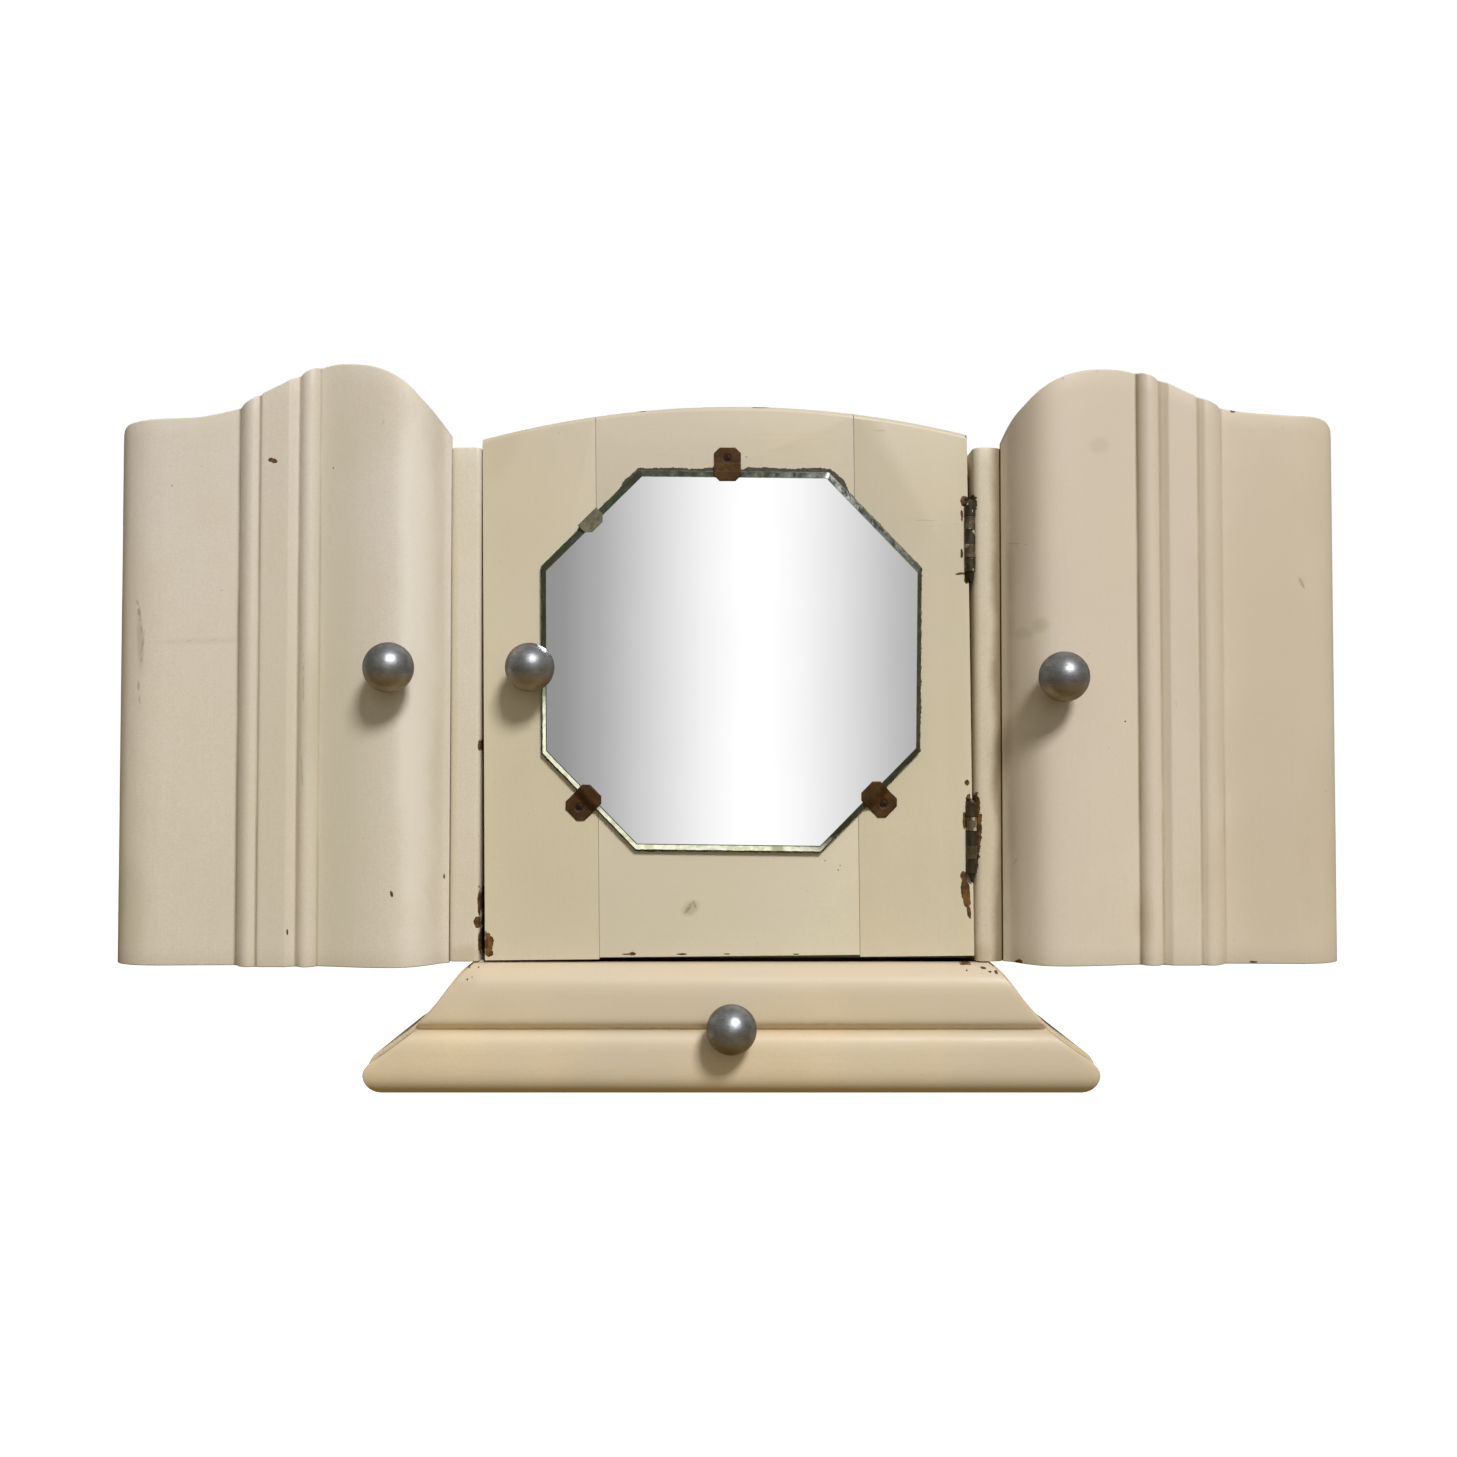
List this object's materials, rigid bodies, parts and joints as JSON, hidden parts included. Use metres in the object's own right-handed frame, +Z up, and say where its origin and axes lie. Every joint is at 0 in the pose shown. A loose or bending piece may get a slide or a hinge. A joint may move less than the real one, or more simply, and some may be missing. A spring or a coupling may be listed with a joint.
{
  "type": "medicine cabinet",
  "caption": "Wall-hung painted wooden medicine cabinet with an octagonal mirror on an arched centre door, two moulded side doors with swan-neck tops and an ogee-sided drawer.",
  "frame": {"origin": "midway between the two wall-screw holes, on the wall plane at the cabinet's back", "axes": "+X to the right along the cabinet's width, +Y back into the wall, +Z up; the doors and the drawer face -Y"},
  "size_m": [0.7065, 0.1841, 0.4171],
  "materials": {
    "painted_wood": "aged cream oil paint, satin",
    "bare_wood": "unpainted aged pine",
    "mirror_silver": "silvered plate glass with a ground bevel",
    "rusty_steel": "rust-browned sheet steel",
    "painted_steel": "painted over with the cabinet",
    "aluminium": "dull satin",
    "zinc_steel": "dull zinc plated",
    "brass": "tarnished"
  },
  "bodies": {
    "cabinet": {"back_panel": "bare_wood", "base_back": "bare_wood", "base_board": "painted_wood", "base_cheek_left": "painted_wood", "base_cheek_right": "painted_wood", "center_bottom": "painted_wood", "center_shelf": "painted_wood", "center_top": "painted_wood", "door_catches": "brass", "drawer_guides": "bare_wood", "frame_hinge_screws": "rusty_steel", "hanging_rail": "bare_wood", "hinge_pins": "rusty_steel", "left_bottom": "painted_wood", "left_shelf": "painted_wood", "left_top": "painted_wood", "mirror_hinge_frame_leaves": "rusty_steel", "outer_side_left": "painted_wood", "outer_side_right": "painted_wood", "partition_left": "painted_wood", "partition_right": "painted_wood", "right_bottom": "painted_wood", "right_shelf": "painted_wood", "right_top": "painted_wood", "shelf_cleats": "bare_wood", "side_hinge_frame_leaves": "rusty_steel"},
    "mirror_door": {"clip_screws": "rusty_steel", "door_bottom_rail": "painted_wood", "door_center_panel": "painted_wood", "door_stile_left": "painted_wood", "door_stile_right": "painted_wood", "door_top_rail": "painted_wood", "mirror_clip_painted": "painted_steel", "mirror_clips": "rusty_steel", "mirror_door_hinge_screws": "rusty_steel", "mirror_door_knob": "aluminium", "mirror_door_knob_screw": "zinc_steel", "mirror_door_strike": "brass", "mirror_glass": "mirror_silver", "mirror_hinge_door_leaves": "rusty_steel"},
    "left_door": {"left_door_hinge_leaves": "rusty_steel", "left_door_hinge_screws": "rusty_steel", "left_door_knob": "aluminium", "left_door_knob_screw": "zinc_steel", "left_door_panel": "painted_wood", "left_door_strike": "brass"},
    "right_door": {"right_door_hinge_leaves": "rusty_steel", "right_door_hinge_screws": "rusty_steel", "right_door_knob": "aluminium", "right_door_knob_screw": "zinc_steel", "right_door_panel": "painted_wood", "right_door_strike": "brass"},
    "drawer": {"drawer_back": "bare_wood", "drawer_bottom": "bare_wood", "drawer_front": "painted_wood", "drawer_knob": "aluminium", "drawer_knob_screw": "zinc_steel", "drawer_sides": "bare_wood"}
  },
  "joints": [
    {"name": "mirror_door_hinge", "type": "hinge", "parent": "cabinet", "child": "mirror_door", "pos_m": [0.1416, -0.13, -0.118], "axis": [0, 0, 1], "range_deg": [0, 110]},
    {"name": "left_door_hinge", "type": "hinge", "parent": "cabinet", "child": "left_door", "pos_m": [-0.3502, -0.12615, -0.118], "axis": [0, 0, -1], "range_deg": [0, 110]},
    {"name": "right_door_hinge", "type": "hinge", "parent": "cabinet", "child": "right_door", "pos_m": [0.3502, -0.12615, -0.118], "axis": [0, 0, 1], "range_deg": [0, 110]},
    {"name": "drawer_slide", "type": "slide", "parent": "cabinet", "child": "drawer", "axis": [0, -1, 0], "range_m": [0, 0.085]}
  ]
}
